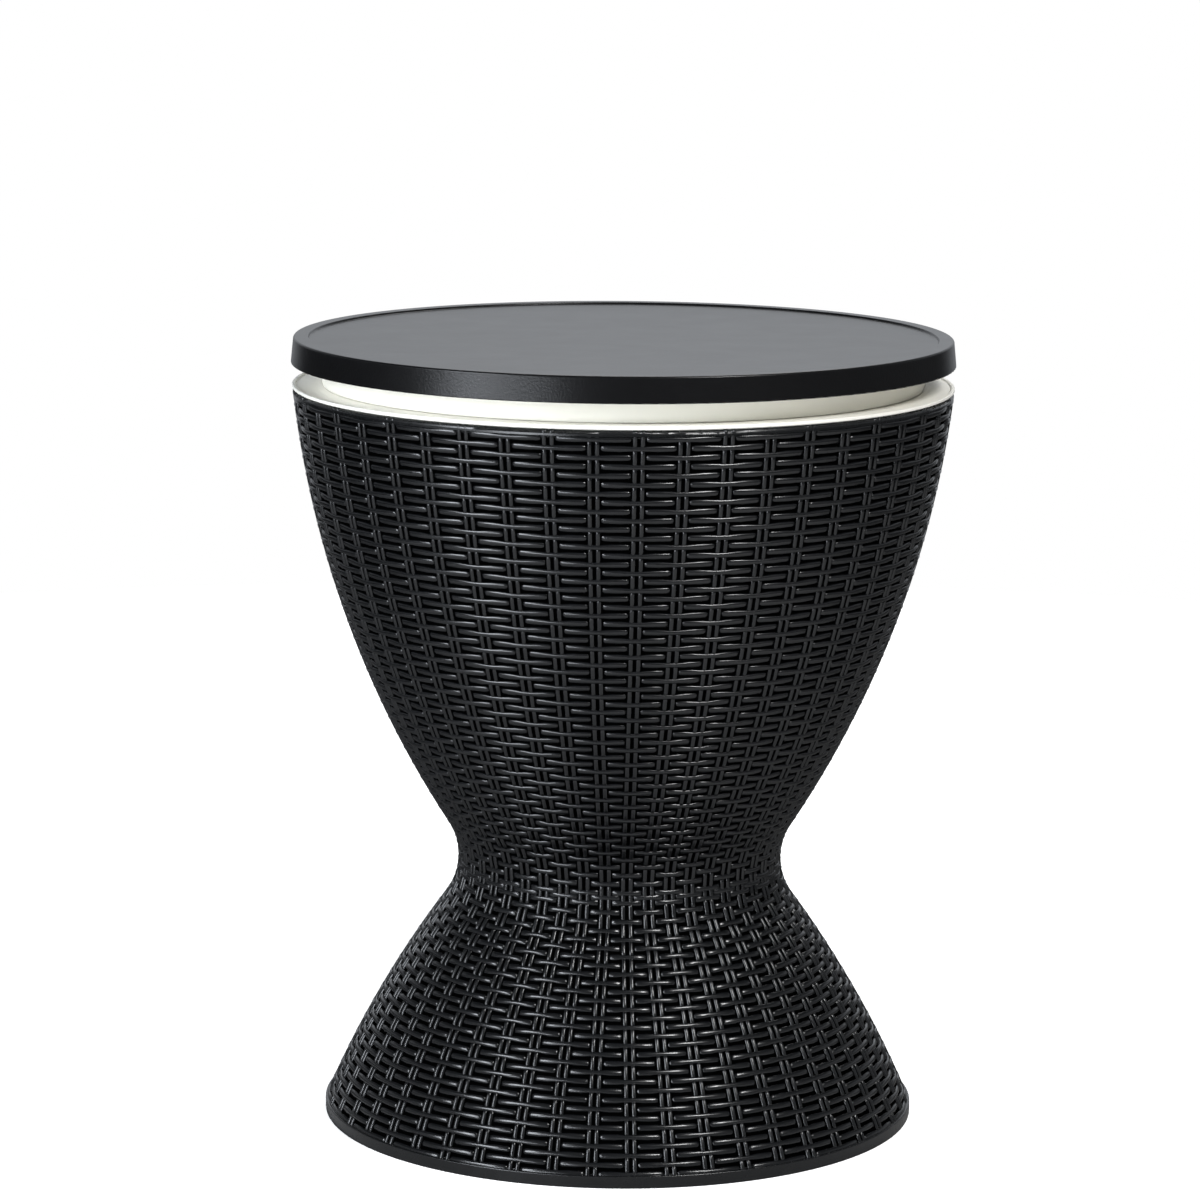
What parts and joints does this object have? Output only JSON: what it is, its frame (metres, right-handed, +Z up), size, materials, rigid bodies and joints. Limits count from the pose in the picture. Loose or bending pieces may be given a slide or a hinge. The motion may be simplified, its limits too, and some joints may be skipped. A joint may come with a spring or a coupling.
{
  "type": "cooler table",
  "caption": "Round patio side table shaped like an hourglass, with a lift-up tabletop on a telescopic post over an ice bucket.",
  "frame": {"origin": "centre of the foot on the floor", "axes": "+Z up along the table's axis, front faces -Y, drain outlet towards +X"},
  "size_m": [0.4948, 0.4948, 0.5908],
  "materials": {
    "black_shell": "satin moulded, woven relief",
    "black_top": "fine spark-eroded grain",
    "white_plastic": "satin moulded",
    "pole_plastic": "satin moulded",
    "bearing_plastic": "plain moulded acetal",
    "black_nylon": "satin moulded",
    "tube_aluminium": "drawn",
    "steel": "zinc plated",
    "rubber": "matt moulded"
  },
  "bodies": {
    "stand": {"base_shell": "black_shell", "upper_shell": "black_shell", "shell_screws": "steel", "ice_bucket": "white_plastic", "column_tube": "tube_aluminium", "column_bush": "bearing_plastic", "column_cap": "white_plastic", "tube_end_cap": "black_nylon", "clamp_washer": "steel", "clamp_nut": "black_nylon", "drain_spigot": "black_nylon", "drain_gasket": "rubber", "drain_nut": "black_nylon"},
    "lock_carriage": {"lock_collar": "bearing_plastic"},
    "tabletop": {"tabletop_cover": "black_top", "lid_liner": "white_plastic", "liner_screws": "steel", "pole_flange": "pole_plastic", "flange_screws": "steel", "flange_pin": "steel", "inner_pole": "pole_plastic", "cam_pin": "steel", "lock_cam": "bearing_plastic", "collar_retainer": "steel", "retainer_screw": "steel"},
    "plug": {"drain_plug": "rubber"}
  },
  "joints": [
    {"name": "tabletop_lift", "type": "slide", "parent": "stand", "child": "lock_carriage", "axis": [0, 0, 1], "range_m": [0, 0.254]},
    {"name": "tabletop_twist", "type": "hinge", "parent": "lock_carriage", "child": "tabletop", "pos_m": [0, 0, 0.183], "axis": [0, 0, -1], "range_deg": [0, 60]},
    {"name": "plug_pull", "type": "slide", "parent": "stand", "child": "plug", "axis": [0, 0, 1], "range_m": [0, 0.03]}
  ]
}
